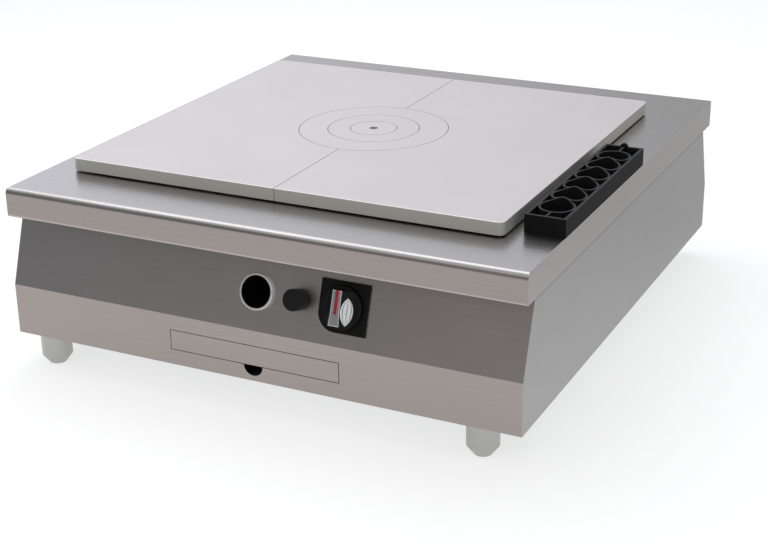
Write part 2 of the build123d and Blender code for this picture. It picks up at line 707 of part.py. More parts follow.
def insulation_boards():
    """Boards of mineral wool against the outside of the chamber's left, back and front walls."""
    z0, z1 = chamber_floor, WORKTOP_HEIGHT - OPENING_LIP - SEAT_GAP
    left = block((frame_x0 - INSULATION, frame_y0, z0), (frame_x0, frame_y1, z1))
    back = block((frame_x0, frame_y1, z0), (frame_x1, frame_y1 + INSULATION, z1))
    front = block((frame_x0, frame_y0 - INSULATION, z0), (frame_x1, frame_y0, z1))
    front -= front_wall_holes(frame_y0 - INSULATION, frame_y0)
    return Compound([left, back, front])


def flue_duct():
    """The sheet elbow that takes the burnt gas from the chamber up to the grille."""
    skin = DUCT_SHEET
    top = flue_slot_top + skin
    body = block((frame_x1, flue_y0 - skin, flue_slot_bottom - skin), (flue_x1 + skin, flue_y1 + skin, top))
    body += block((flue_x0 - skin, flue_y0 - skin, top), (flue_x1 + skin, flue_y1 + skin, worktop_under))
    hollow = block((frame_x1, flue_y0, flue_slot_bottom), (flue_x1, flue_y1, flue_slot_top))
    hollow += block((flue_x0, flue_y0, flue_slot_top), (flue_x1, flue_y1, worktop_under))
    return body - hollow


def grille_webs(z1):
    """The grille's row of rings under a rim height, with a crest where two rings meet."""
    ring = (grille_pitch + GRILLE_WEB) / 2
    centres = [grille_y0 + GRILLE_RING_FRONT + i * grille_pitch for i in range(GRILLE_RINGS)]
    walls = [Pos(grille_x, y) * Circle(ring) for y in centres]
    holes = [Pos(grille_x, y) * Circle(ring - GRILLE_WEB) for y in centres]
    middle_y = (grille_y0 + grille_y1) / 2
    rib = Pos(grille_x, middle_y) * Rectangle(GRILLE_WEB, GRILLE_LENGTH - GRILLE_WALL)
    inside = Pos(grille_x, middle_y) * Rectangle(GRILLE_WIDTH - GRILLE_WALL, GRILLE_LENGTH - GRILLE_WALL)
    pattern = (Sketch() + walls + rib - holes) & inside
    webs = Pos(0, 0, z1 - GRILLE_WEB_DEPTH) * extrude(pattern, GRILLE_WEB_DEPTH + GRILLE_PEAK)
    half = ring - GRILLE_WEB
    crest = Spline((-half, z1), (0, z1 + GRILLE_PEAK), (half, z1), tangents=((1, 0), (1, 0)))
    foot = Polyline((half, z1), (half, z1 - GRILLE_WEB), (-half, z1 - GRILLE_WEB), (-half, z1))
    section = Plane.XZ * (Pos(grille_x, 0) * make_face(crest + foot))
    ridge = Pos(0, centres[0], 0) * extrude(section, centres[-1] - centres[0], dir=(0, 1, 0))
    below = block((grille_x0, grille_y0, z1 - GRILLE_WEB_DEPTH), (grille_x1, grille_y1, z1))
    return webs & (below + ridge)


def flue_grille():
    """The cast grille: a walled box with a row of rings, a bump at the back and a lip below."""
    z0, z1 = WORKTOP_HEIGHT, WORKTOP_HEIGHT + GRILLE_HEIGHT
    cast = block((grille_x0, grille_y0, z0), (grille_x1, grille_y1, z1))
    wall = GRILLE_WALL
    cast -= block((grille_x0 + wall, grille_y0 + wall, z0), (grille_x1 - wall, grille_y1 - wall, z1))
    cast += grille_webs(z1)
    bump_z = z1 + GRILLE_PEAK - GRILLE_BUMP_RADIUS
    cast += rod(GRILLE_BUMP_RADIUS, (grille_x, grille_y1 - wall, bump_z), (grille_x, grille_y1, bump_z))
    clear = FRAME_CLEARANCE
    low = (flue_x0 + clear, flue_y0 + clear, z0 - GRILLE_LIP_DEPTH)
    high = (flue_x1 - clear, flue_y1 - clear, z0 + GRILLE_WALL)
    lip = block(low, high)
    foot = block((grille_x0, grille_y0, z0), (grille_x1, grille_y1, z0 + GRILLE_WALL))
    way_low = (low[0] + GRILLE_LIP, low[1] + GRILLE_LIP, low[2])
    way = block(way_low, (high[0] - GRILLE_LIP, high[1] - GRILLE_LIP, high[2]))
    return cast + (lip + foot - way)


# Sight hole

def sight_ring():
    """The turned ring in the fascia's sight hole, with a barrel through the sheet."""
    flange = extrude(Circle(SIGHT_HOLE_RADIUS + SIGHT_RING_WIDTH), SIGHT_RING_HEIGHT)
    flange = fillet(flange.edges().group_by(Axis.Z)[-1], SIGHT_RING_WIDTH / 3)
    barrel = extrude(Circle(SIGHT_HOLE_RADIUS + SIGHT_BARREL_WALL), -SIGHT_BARREL_LENGTH)
    ring = flange + barrel - extrude(Circle(SIGHT_HOLE_RADIUS), 2 * UNIT_DEPTH, both=True)
    return fascia_face * Pos(SIGHT_HOLE_X, CONTROL_RISE) * ring


def sight_tube():
    """The level tube, mitred behind the fascia, through which the flame is seen."""
    x, z = sight_back.X, sight_back.Z
    back = frame_y0 + CHAMBER_SHEET + LINING_WALL
    tube = rod(SIGHT_TUBE_RADIUS + SIGHT_BARREL_WALL, (x, -half_depth, z), (x, back, z))
    tube -= rod(SIGHT_TUBE_RADIUS, (x, -half_depth, z), (x, back, z))
    mitre = extrude(Circle(2 * SIGHT_TUBE_RADIUS), 2 * SIGHT_TUBE_RADIUS)
    return tube - fascia_face * Pos(x, CONTROL_RISE, -SIGHT_BARREL_LENGTH - SEAT_GAP) * mitre


# Igniter

def at_button(h):
    """A place on the button's axis, h above the fascia's face."""
    return fascia_face * Pos(button_x, CONTROL_RISE, h)


def igniter_button():
    """The push button: a hollow cap on a stem that strikes the igniter."""
    foot = BUTTON_TRAVEL + BUTTON_FOOT_GAP
    cap = extrude(Circle(BUTTON_RADIUS), BUTTON_HEIGHT - foot)
    cap = fillet(cap.edges().group_by(Axis.Z)[-1], BUTTON_WALL / 2)
    cap -= extrude(Circle(BUTTON_RADIUS - BUTTON_WALL), BUTTON_HEIGHT - foot - BUTTON_WALL)
    stem = extrude(Circle(STEM_RADIUS), BUTTON_HEIGHT - BUTTON_WALL / 2 + STEM_DEPTH)
    return at_button(foot) * cap + at_button(-STEM_DEPTH) * stem


def igniter_collar():
    """The fixed collar that guides the stem, with a threaded barrel through the fascia."""
    collar = extrude(Circle(COLLAR_RADIUS), COLLAR_HEIGHT)
    collar += extrude(Circle(BARREL_RADIUS), -BARREL_DEPTH)
    collar -= extrude(Circle(STEM_RADIUS + RUNNING_CLEARANCE), 2 * BARREL_DEPTH, both=True)
    return at_button(0) * collar


def igniter_nut():
    """The hexagon nut that clamps the collar from behind."""
    nut = RegularPolygon(NUT_RADIUS, 6) - Circle(BARREL_RADIUS)
    return at_button(-PANEL_SHEET) * extrude(nut, -NUT_HEIGHT)


def igniter_body():
    """The piezo cartridge behind the collar, with its terminal at the back."""
    body = extrude(Circle(IGNITER_RADIUS), -IGNITER_LENGTH)
    depth = STEM_DEPTH + BUTTON_TRAVEL + SEAT_GAP - BARREL_DEPTH
    body -= extrude(Circle(STEM_RADIUS + RUNNING_CLEARANCE), -depth)
    placed = at_button(-BARREL_DEPTH) * body
    tip = (button_x, igniter_back.Y + IGNITION_LEAD_RADIUS * 3, igniter_back.Z)
    return placed + rod(IGNITION_LEAD_RADIUS, (button_x, igniter_back.Y - NUT_HEIGHT, igniter_back.Z), tip)


# Gas tap and knob

def at_knob(h):
    """A place on the knob's axis, h above the fascia's face."""
    return fascia_face * Pos(knob_x, CONTROL_RISE, h)


def knob_bezel():
    """The black plate round the knob, with one large round corner."""
    plate = Rectangle(BEZEL_WIDTH, BEZEL_HEIGHT)
    corner = plate.vertices().group_by(Axis.Y)[0].sort_by(Axis.X)[0]
    plate = fillet(corner, BEZEL_CORNER_RADIUS)
    plate -= Circle(PLUNGER_HOLE_RADIUS)
    return at_knob(0) * extrude(plate, BEZEL_THICKNESS)


def grip_outline():
    """The grip seen from the front: straight sides that flare towards the tail."""
    half = GRIP_LENGTH / 2
    tip = GRIP_TOP_WIDTH / 2
    tail = GRIP_TAIL_WIDTH / 2
    points = [(-tip, half), (tip, half), (tip, -half / 3), (tail, -half)]
    points += [(-tail, -half), (-tip, -half / 3)]
    return make_face(Polyline(*points, close=True))


def scoop_place(side):
    """The frame of the grip's sloping flank on one side, in the knob's own axes."""
    top = Vector(side * GRIP_TOP_WIDTH / 2, -SCOOP_DROP, KNOB_HEIGHT - INDEX_PLATE)
    bottom = Vector(side * GRIP_BASE_WIDTH / 2, -SCOOP_DROP, knob_skirt_top)
    down = (bottom - top).normalized()
    normal = Vector(-down.Z * side, 0, down.X * side).normalized()
    return Plane(origin=(top + bottom) / 2, x_dir=down, z_dir=normal)


def scoop_leaf(depth):
    """A leaf outline of two arcs that meet at its points, as a thin plate."""
    half = SCOOP_LENGTH / 2
    wide = SCOOP_WIDTH / 2
    right = ThreePointArc((0, -half), (wide, 0), (0, half))
    left = ThreePointArc((0, half), (-wide, 0), (0, -half))
    return extrude(make_face(right + left), -depth)


def knob():
    """The knob: a round skirt and a bar grip with sloping flanks, bored for the spindle."""
    skirt = Pos(0, 0, knob_skirt_bottom) * extrude(Circle(KNOB_SKIRT_RADIUS), KNOB_SKIRT_HEIGHT)
    skirt = fillet(skirt.edges().group_by(Axis.Z)[-1], KNOB_SKIRT_HEIGHT / 2)
    top_z = KNOB_HEIGHT - INDEX_PLATE
    lower = Pos(0, 0, knob_skirt_top) * Rectangle(GRIP_BASE_WIDTH, GRIP_LENGTH)
    upper = Pos(0, 0, top_z) * Rectangle(GRIP_TOP_WIDTH, GRIP_LENGTH)
    grip = loft([lower.face(), upper.face()])
    grip += Pos(0, 0, knob_skirt_top) * extrude(grip_outline(), top_z - knob_skirt_top)
    grip &= Pos(0, 0, knob_skirt_bottom) * extrude(Circle(KNOB_SKIRT_RADIUS - GRIP_SKIRT_MARGIN), KNOB_HEIGHT)
    body = skirt + grip
    for side in (-1, 1):
        body -= scoop_place(side) * scoop_leaf(SCOOP_DEPTH)
    body -= extrude(Circle(SPINDLE_RADIUS), spindle_top)
    return at_knob(0) * body


def knob_index_plate():
    """The grey insert on top of the grip."""
    return at_knob(KNOB_HEIGHT - INDEX_PLATE) * extrude(grip_outline(), INDEX_PLATE)


def knob_pointer():
    """The red line on the grip's insert, from its tip towards the middle."""
    middle = GRIP_LENGTH / 2 - POINTER_LENGTH / 2
    line = Pos(0, middle) * Rectangle(POINTER_WIDTH, POINTER_LENGTH)
    return at_knob(KNOB_HEIGHT) * extrude(line, POINTER_THICKNESS)


def knob_scoops():
    """The bright leaf-shaped inlays in the grip's two flanks."""
    return Compound([at_knob(0) * (scoop_place(side) * scoop_leaf(SCOOP_DEPTH)) for side in (-1, 1)])


def valve_spindle():
    """The tap's spindle, which the knob is pressed on."""
    return at_knob(-SPINDLE_DEPTH) * extrude(Circle(SPINDLE_RADIUS), SPINDLE_DEPTH + spindle_top)


def valve_plunger():
    """The sleeve round the spindle that opens the safety valve when the knob is pushed in."""
    sleeve = Circle(PLUNGER_RADIUS) - Circle(SPINDLE_RADIUS + RUNNING_CLEARANCE)
    return at_knob(tap_front) * extrude(sleeve, -PLUNGER_LENGTH)


def valve_bracket():
    """The plate behind the fascia that the tap is screwed to."""
    plate = Rectangle(TAP_BRACKET_WIDTH, TAP_WIDTH) - Circle(PLUNGER_HOLE_RADIUS)
    return at_knob(-PANEL_SHEET) * extrude(plate, -TAP_BRACKET)


def tap_port(x, z, radius):
    """A short level port out of the back of the tap."""
    return rod(radius, (x, tap_back.Y - TAP_LENGTH / 2, z), (x, tap_port_y, z))


def valve_body():
    """The brass gas tap, with ports for the supply, the burner, the pilot and the thermocouple."""
    body = extrude(RectangleRounded(TAP_WIDTH, TAP_WIDTH, TAP_CORNER_RADIUS), -TAP_LENGTH)
    body -= extrude(Circle(PLUNGER_RADIUS + RUNNING_CLEARANCE), -TAP_BORE_DEPTH)
    placed = at_knob(tap_front) * body
    inlet = (knob_x + TAP_WIDTH / 2 - TAP_CORNER_RADIUS / 2, tap_middle.Y, tap_middle.Z)
    placed += rod(SUPPLY_RADIUS, inlet, (tap_inlet_x, tap_middle.Y, tap_middle.Z))
    outlet = (knob_x, tap_middle.Y, tap_middle.Z - TAP_WIDTH / 3)
    placed += rod(BURNER_PIPE_RADIUS, outlet, (knob_x, tap_middle.Y, tap_outlet_z))
    placed += tap_port(pilot_port_x, pilot_port_z, 2 * PILOT_TUBE_RADIUS)
    placed += tap_port(thermo_port_x, thermo_port_z, 2 * THERMOCOUPLE_RADIUS)
    hollow = extrude(Circle(PLUNGER_RADIUS + RUNNING_CLEARANCE), -TAP_BORE_DEPTH)
    return placed - at_knob(tap_front) * hollow


# Gas pipes

def at_inlet(y):
    """A place on the inlet's axis, facing the back."""
    return Plane(origin=(inlet_x, y, inlet_height), x_dir=(-1, 0, 0), z_dir=(0, 1, 0))


def gas_inlet_nipple():
    """The threaded connection at the back, with a shoulder and a hexagon inside the back panel."""
    body = at_inlet(inlet_start_y) * extrude(RegularPolygon(INLET_HEX_RADIUS, 6), INLET_HEX_LENGTH)
    shoulder_y = inlet_start_y + INLET_HEX_LENGTH
    body += at_inlet(shoulder_y) * extrude(Circle(INLET_SHOULDER_RADIUS), inlet_thread_y - shoulder_y)
    body += at_inlet(inlet_thread_y) * extrude(Circle(INLET_RADIUS), INLET_LENGTH)
    length = inlet_thread_y + INLET_LENGTH - inlet_start_y
    return body - at_inlet(inlet_start_y) * extrude(Circle(INLET_BORE), length)


def gas_inlet_pipe():
    """The supply pipe: down from the inlet, forward along the right side, then up to the tap."""
    bend = PIPE_BEND * SUPPLY_RADIUS
    turn_y = inlet_start_y - bend - SUPPLY_RADIUS
    front_y = tap_middle.Y
    points = [(inlet_x, inlet_start_y, inlet_height), (inlet_x, turn_y, inlet_height)]
    points += [(inlet_x, turn_y, supply_height), (inlet_x, front_y, supply_height)]
    points += [(inlet_x, front_y, tap_middle.Z), (tap_inlet_x, front_y, tap_middle.Z)]
    return pipe(points, SUPPLY_RADIUS, PIPE_WALL, bend)


def burner_supply_pipe():
    """The pipe from the tap, under the sight tube, to the injector holder."""
    y = tap_middle.Y
    bend = PIPE_BEND * BURNER_PIPE_RADIUS
    points = [(knob_x, y, tap_outlet_z), (knob_x, y, burner_pipe_height)]
    points += [(mixer_x, y, burner_pipe_height), (mixer_x, y, mixer_z - HOLDER_SIZE / 2)]
    return pipe(points, BURNER_PIPE_RADIUS, PIPE_WALL, bend)


# Burner

def burner_body():
    """The cast burner bowl, fed from the side."""
    bowl = Pos(plate_x, plate_y, burner_bottom) * extrude(Circle(BURNER_RADIUS), BURNER_HEIGHT)
    inside = Circle(BURNER_RADIUS - BURNER_WALL)
    bowl -= Pos(plate_x, plate_y, burner_bottom + BURNER_WALL) * extrude(inside, BURNER_HEIGHT)
    mouth_y = plate_y - BURNER_RADIUS
    return bowl - rod(MIXER_RADIUS - MIXER_WALL, (mixer_x, mouth_y, mixer_z), (mixer_x, plate_y, mixer_z))


def burner_cap():
    """The burner's cap, with flame slots round its rim."""
    cap = Pos(plate_x, plate_y, cap_bottom) * extrude(Circle(CAP_RADIUS), CAP_THICKNESS)
    cap = fillet(cap.edges().group_by(Axis.Z)[-1], CAP_THICKNESS / 3)
    plug = Circle(BURNER_RADIUS - BURNER_WALL - SEAT_GAP)
    cap += Pos(plate_x, plate_y, cap_bottom) * extrude(plug, -BURNER_WALL)
    slot = Pos(CAP_RADIUS - CAP_SLOT_DEPTH / 2, 0, cap_bottom + CAP_THICKNESS / 2)
    slot = slot * Box(CAP_SLOT_DEPTH, CAP_SLOT_WIDTH, CAP_THICKNESS)
    for i in range(CAP_SLOTS):
        cap -= Pos(plate_x, plate_y, 0) * Rot(0, 0, 360 / CAP_SLOTS * i) * slot
    return cap


def burner_legs():
    """The legs that hold the burner above the hearth slab."""
    reach = BURNER_RADIUS - 3 * BURNER_LEG_RADIUS
    leg = Pos(reach, 0, hearth) * extrude(Circle(BURNER_LEG_RADIUS), burner_bottom - hearth)
    turns = [Pos(plate_x, plate_y, 0) * Rot(0, 0, 360 / BURNER_LEGS * i) for i in range(BURNER_LEGS)]
    return Compound([turn * leg for turn in turns])


def mixing_tube():
    """The mixing tube, with a bell mouth and a square flange in front of the chamber."""
    y0 = mixer_front
    axis_plane = Plane(origin=(mixer_x, y0, mixer_z), x_dir=(1, 0, 0), z_dir=(0, 1, 0))
    flange = extrude(Rectangle(MIXER_FLANGE_SIZE, MIXER_FLANGE_SIZE), MIXER_FLANGE)
    bell = loft([Circle(BELL_RADIUS).face(), (Pos(0, 0, BELL_LENGTH) * Circle(MIXER_RADIUS)).face()])
    throat_wide = Circle(BELL_RADIUS - MIXER_WALL).face()
    throat_narrow = (Pos(0, 0, BELL_LENGTH) * Circle(MIXER_RADIUS - MIXER_WALL)).face()
    throat = loft([throat_wide, throat_narrow])
    tube = rod(MIXER_RADIUS, (mixer_x, y0 + BELL_LENGTH, mixer_z), (mixer_x, plate_y, mixer_z))
    bore = rod(MIXER_RADIUS - MIXER_WALL, (mixer_x, y0 + BELL_LENGTH, mixer_z), (mixer_x, plate_y, mixer_z))
    body = axis_plane * (flange + bell) + tube - axis_plane * throat - bore
    return body - Pos(plate_x, plate_y, burner_bottom) * extrude(Circle(BURNER_RADIUS), BURNER_HEIGHT)


def injector_holder():
    """The block that the injector screws into, on two arms from the mixing tube's flange."""
    half = HOLDER_SIZE / 2
    back_y = mixer_front - HOLDER_GAP
    y = tap_middle.Y
    front_y = min(y - half, back_y - HOLDER_SIZE)
    holder = block((mixer_x - half, front_y, mixer_z - half), (mixer_x + half, back_y, mixer_z + half))
    for side in (-1, 1):
        reach = side * MIXER_FLANGE_SIZE / 2
        arm = [mixer_x, mixer_x + reach]
        tip = [mixer_x + reach - side * HOLDER_ARM, mixer_x + reach]
        low, high = mixer_z - half / 2, mixer_z + half / 2
        holder += block((min(arm), back_y - HOLDER_ARM, low), (max(arm), back_y, high))
        holder += block((min(tip), back_y - HOLDER_ARM, low), (max(tip), mixer_front, high))
    way_in = (mixer_x, y, mixer_z - half)
    holder -= rod(BURNER_PIPE_RADIUS - PIPE_WALL, way_in, (mixer_x, y, mixer_z))
    holder -= rod(INJECTOR_RADIUS, (mixer_x, y, mixer_z), (mixer_x, back_y, mixer_z))
    return holder


def injector():
    """The brass injector, which points into the mixing tube's bell."""
    back_y = mixer_front - HOLDER_GAP
    screw = rod(INJECTOR_RADIUS, (mixer_x, back_y - HOLDER_SIZE / 3, mixer_z), (mixer_x, back_y, mixer_z))
    head = extrude(RegularPolygon(INJECTOR_HEX_RADIUS, 6), 2 * HOLDER_ARM)
    head = Plane(origin=(mixer_x, back_y, mixer_z), z_dir=(0, 1, 0)) * head
    nose = rod(INJECTOR_NOSE_RADIUS, (mixer_x, back_y, mixer_z), (mixer_x, back_y + INJECTOR_LENGTH, mixer_z))
    start = (mixer_x, back_y - HOLDER_SIZE / 3, mixer_z)
    return screw + head + nose - rod(INJECTOR_BORE, start, (mixer_x, back_y + INJECTOR_LENGTH, mixer_z))


# Pilot flame, thermocouple and spark electrode

def pilot_burner():
    """The pilot's bracket on the hearth slab and its nozzle block."""
    low = (lead_xs[0] - PILOT_BLOCK / 2, bracket_y - PILOT_PLATE, hearth)
    high = (lead_xs[-1] + PILOT_BLOCK, bracket_y, hearth + PILOT_PLATE_HEIGHT)
    plate = block(low, high)
    foot = block((low[0], bracket_y, hearth), (high[0], pilot_y + PILOT_BLOCK, hearth + PILOT_PLATE))
    x = lead_xs[0]
    half = PILOT_BLOCK / 2
    nozzle_top = (x + half, bracket_y + PILOT_BLOCK, pilot_height - half)
    nozzle = block((x - half, bracket_y, pilot_port_z - half), nozzle_top)
    nose = (x, bracket_y + half, pilot_height - half)
    mouth = (x, bracket_y + half, pilot_height)
    nozzle += rod(PILOT_NOZZLE_RADIUS, nose, mouth) - rod(PILOT_NOZZLE_BORE, nose, mouth)
    radii = (PILOT_TUBE_RADIUS, THERMOCOUPLE_RADIUS, ELECTRODE_RADIUS)
    for lead_x, z, radius in zip(lead_xs, (pilot_port_z, thermo_port_z, igniter_back.Z), radii):
        plate -= rod(radius, (lead_x, low[1], z), (lead_x, bracket_y, z))
    return plate + foot + nozzle


def tap_lead(port_x, port_z, lead_x, lane, end):
    """The points of a thin line from a port on the tap, across behind the controls, to the pilot."""
    turn_y = tap_port_y + lane
    points = [(port_x, tap_port_y, port_z), (port_x, turn_y, port_z)]
    return points + [(lead_x, turn_y, port_z), (lead_x, end, port_z)]


def pilot_tube():
    """The thin gas tube from the tap to the pilot's nozzle."""
    points = tap_lead(pilot_port_x, pilot_port_z, lead_xs[0], PILOT_LANE, bracket_y)
    return pipe(points, PILOT_TUBE_RADIUS, PIPE_WALL / 2, 3 * PILOT_TUBE_RADIUS)


def thermocouple():
    """The thermocouple: its lead from the tap and the thicker tip in the pilot flame."""
    points = tap_lead(thermo_port_x, thermo_port_z, lead_xs[1], LEAD_PITCH, pilot_y)
    points.append((lead_xs[1], pilot_y, pilot_height))
    lead = pipe(points, THERMOCOUPLE_RADIUS, 0, 3 * THERMOCOUPLE_RADIUS)
    tip = (lead_xs[1], pilot_y, pilot_height)
    return lead + rod(THERMOCOUPLE_TIP_RADIUS, (lead_xs[1], pilot_y, pilot_height - 2 * PILOT_BLOCK), tip)


def ignition_lead():
    """The high-voltage lead from the igniter straight back to the electrode."""
    start_y = igniter_back.Y + IGNITION_LEAD_RADIUS * 3
    z = igniter_back.Z
    return rod(IGNITION_LEAD_RADIUS, (button_x, start_y, z), (button_x, bracket_y - PILOT_BLOCK, z))


def spark_electrode():
    """The electrode: a ceramic sleeve through the bracket and a wire bent up to the flame."""
    x, z = lead_xs[2], igniter_back.Z
    sleeve = rod(ELECTRODE_RADIUS, (x, bracket_y - PILOT_BLOCK, z), (x, pilot_y, z))
    wire_y = pilot_y + PILOT_BLOCK / 2
    points = [(x, pilot_y, z), (x, wire_y, z), (x, wire_y, pilot_height)]
    points.append((x - LEAD_PITCH / 2, wire_y, pilot_height))
    return sleeve + pipe(points, ELECTRODE_TIP_RADIUS, 0, 2 * ELECTRODE_TIP_RADIUS)


# Drip drawer

def drawer_front():
    """The drawer's flush front, with a return along its lower edge for the fingers."""
    half = DRAWER_WIDTH / 2
    low = (DRAWER_X - half, -half_depth, drawer_bottom)
    face = block(low, (DRAWER_X + half, band_inner_y, drawer_top))
    for z in (drawer_bottom, drawer_top - PANEL_SHEET):
        start = (DRAWER_X - half, band_inner_y, z)
        face += block(start, (DRAWER_X + half, band_inner_y + DRAWER_RETURN, z + PANEL_SHEET))
    inner = DRAWER_X - tray_half_width
    hollow_low = (inner, band_inner_y, tray_bottom)
    hollow_high = (DRAWER_X + tray_half_width, band_inner_y + DRAWER_RETURN, tray_bottom + TRAY_HEIGHT)
    return face - block(hollow_low, hollow_high)


def drawer_tray():
    """The open tray behind the drawer's front."""
    low = (DRAWER_X - tray_half_width, band_inner_y, tray_bottom)
    high = (DRAWER_X + tray_half_width, band_inner_y + TRAY_LENGTH, tray_bottom + TRAY_HEIGHT)
    skin = TRAY_SHEET
    inner_low = (low[0] + skin, low[1] + skin, low[2] + skin)
    inner_high = (high[0] - skin, high[1] - skin, high[2])
    return block(low, high) - block(inner_low, inner_high)


def drawer_runners():
    """Two angles on the floor sheet: each has a ledge under the tray and a wall beside it."""
    front_y = band_inner_y + DRAWER_RETURN + SLIDE_CLEARANCE
    back_y = band_inner_y + TRAY_LENGTH + LEDGE_DEPTH
    skin = RUNNER_SHEET
    wall_top = tray_bottom + TRAY_HEIGHT / 2
    inside = tray_half_width + SLIDE_CLEARANCE
    outside = inside + skin
    web = block((inside, front_y, base_top), (outside, back_y, wall_top))
    ledge = block((inside - RUNNER_LEDGE, front_y, tray_bottom - skin), (outside, back_y, tray_bottom))
    foot = block((inside, front_y, base_top), (outside + RUNNER_LEDGE, back_y, base_top + skin))
    right = web + ledge + foot
    return Compound([Pos(DRAWER_X, 0, 0) * right, Pos(DRAWER_X, 0, 0) * mirror(right, about=Plane.YZ)])


# Feet

def foot(x, y):
    """A levelling foot: a round cup with a tapered tip, on a threaded stud."""
    tip = Pos(0, 0, FOOT_CHAMFER / 2) * Cone(FOOT_TIP_RADIUS, FOOT_RADIUS, FOOT_CHAMFER)
    cup = Pos(0, 0, FOOT_CHAMFER) * extrude(Circle(FOOT_RADIUS), body_bottom - FOOT_CHAMFER)
    stud = Pos(0, 0, body_bottom) * extrude(Circle(STUD_RADIUS), STUD_LENGTH)
    return Pos(x, y, 0) * (tip + cup + stud)


def foot_sockets():
    """The threaded sockets on the floor sheet that the feet screw into."""
    sockets = []
    section = Circle(SOCKET_RADIUS) - Circle(STUD_RADIUS + RUNNING_CLEARANCE)
    for x in foot_xs:
        for y in (-foot_y, foot_y):
            sockets.append(Pos(x, y, base_top) * extrude(section, SOCKET_HEIGHT))
    return Compound(sockets)


def back_panel_screws():
    """Pan-head screws down both edges of the back panel, into the side panels' flanges."""
    head = extrude(Circle(SCREW_HEAD_RADIUS), SCREW_HEAD_HEIGHT)
    head = fillet(head.edges().group_by(Axis.Z)[-1], SCREW_HEAD_HEIGHT / 2)
    head += extrude(Circle(SCREW_RADIUS), -SCREW_LENGTH)
    return Compound([place * head for side in (-1, 1) for place in screw_places(side)])


parts = {
    "worktop": worktop(),
    "side_panel_left": side_panel(-1),
    "side_panel_right": side_panel(1),
    "control_fascia": control_fascia(),
    "lower_front_panel": lower_front_panel(),
    "back_panel": back_panel(),
    "base_plate": base_plate(),
    "cross_rails": cross_rails(),
    "plate_left": plate_half(-1),
    "plate_right": plate_half(1),
    "outer_ring": outer_ring(),
    "middle_ring": middle_ring(),
    "centre_lid": centre_lid(),
    "hob_frame": hob_frame(),
    "seam_supports": seam_supports(),
    "chamber_shell": chamber_shell(),
    "refractory_bricks": refractory_bricks(),
    "insulation_boards": insulation_boards(),
    "flue_duct": flue_duct(),
    "flue_grille": flue_grille(),
    "sight_ring": sight_ring(),
    "sight_tube": sight_tube(),
    "igniter_button": igniter_button(),
    "igniter_collar": igniter_collar(),
    "igniter_nut": igniter_nut(),
    "igniter_body": igniter_body(),
    "knob_bezel": knob_bezel(),
    "knob": knob(),
    "knob_index_plate": knob_index_plate(),
    "knob_pointer": knob_pointer(),
    "knob_scoops": knob_scoops(),
    "valve_spindle": valve_spindle(),
    "valve_plunger": valve_plunger(),
    "valve_bracket": valve_bracket(),
    "valve_body": valve_body(),
    "gas_inlet_nipple": gas_inlet_nipple(),
    "gas_inlet_pipe": gas_inlet_pipe(),
    "burner_supply_pipe": burner_supply_pipe(),
    "burner_body": burner_body(),
    "burner_cap": burner_cap(),
    "burner_legs": burner_legs(),
    "mixing_tube": mixing_tube(),
    "injector_holder": injector_holder(),
    "injector": injector(),
    "pilot_burner": pilot_burner(),
    "pilot_tube": pilot_tube(),
    "thermocouple": thermocouple(),
    "ignition_lead": ignition_lead(),
    "spark_electrode": spark_electrode(),
    "drawer_front": drawer_front(),
    "drawer_tray": drawer_tray(),
    "drawer_runners": drawer_runners(),
    "foot_front_left": foot(foot_xs[0], -foot_y),
    "foot_front_right": foot(foot_xs[1], -foot_y),
    "foot_back_left": foot(foot_xs[0], foot_y),
    "foot_back_right": foot(foot_xs[1], foot_y),
    "foot_sockets": foot_sockets(),
    "back_panel_screws": back_panel_screws(),
}

os.makedirs("parts", exist_ok=True)
for name, solid in parts.items():
    export_step(solid, f"parts/{name}.step")
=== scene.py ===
import bpy
import numpy as np
from mathutils import Matrix, Vector


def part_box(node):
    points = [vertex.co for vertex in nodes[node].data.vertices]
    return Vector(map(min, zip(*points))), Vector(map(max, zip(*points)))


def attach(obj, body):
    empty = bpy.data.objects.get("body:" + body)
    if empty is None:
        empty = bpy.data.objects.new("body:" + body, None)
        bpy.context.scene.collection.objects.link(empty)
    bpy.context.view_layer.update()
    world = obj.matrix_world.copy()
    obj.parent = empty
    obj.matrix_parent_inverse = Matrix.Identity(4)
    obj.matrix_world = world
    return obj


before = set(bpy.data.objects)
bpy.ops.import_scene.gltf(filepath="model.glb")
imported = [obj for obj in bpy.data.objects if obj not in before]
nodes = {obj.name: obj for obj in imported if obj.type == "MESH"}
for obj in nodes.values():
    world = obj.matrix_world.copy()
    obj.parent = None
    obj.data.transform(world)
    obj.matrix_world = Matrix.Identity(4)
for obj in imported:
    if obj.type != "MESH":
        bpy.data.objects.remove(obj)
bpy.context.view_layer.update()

# Camera
# It stands in front of the unit's right-hand corner, above the worktop, and looks down on the plate.
# The lens is a short telephoto, given in pixels of a picture 768 wide; the angles are in radians.
photo_width = 768
focal_pixels = 1565.1577
eye = Vector((1.0910137, -2.2109323, 1.0603705))
yaw, pitch, roll = 0.4602573, 0.3863448, -0.014678
forward = Vector((-np.sin(yaw) * np.cos(pitch), np.cos(yaw) * np.cos(pitch), -np.sin(pitch)))
level = Vector((np.cos(yaw), np.sin(yaw), 0))
above = level.cross(forward)
across = level * np.cos(roll) + above * np.sin(roll)
upward = above * np.cos(roll) - level * np.sin(roll)
lens = bpy.data.cameras.new("camera")
lens.sensor_width = 36.0
lens.lens = focal_pixels * lens.sensor_width / photo_width
lens.clip_start, lens.clip_end = 0.05, 60
camera = bpy.data.objects.new("camera", lens)
camera.matrix_world = Matrix((
    (across.x, upward.x, -forward.x, eye.x),
    (across.y, upward.y, -forward.y, eye.y),
    (across.z, upward.z, -forward.z, eye.z),
    (0, 0, 0, 1)))
scene = bpy.context.scene
scene.collection.objects.link(camera)
scene.camera = camera

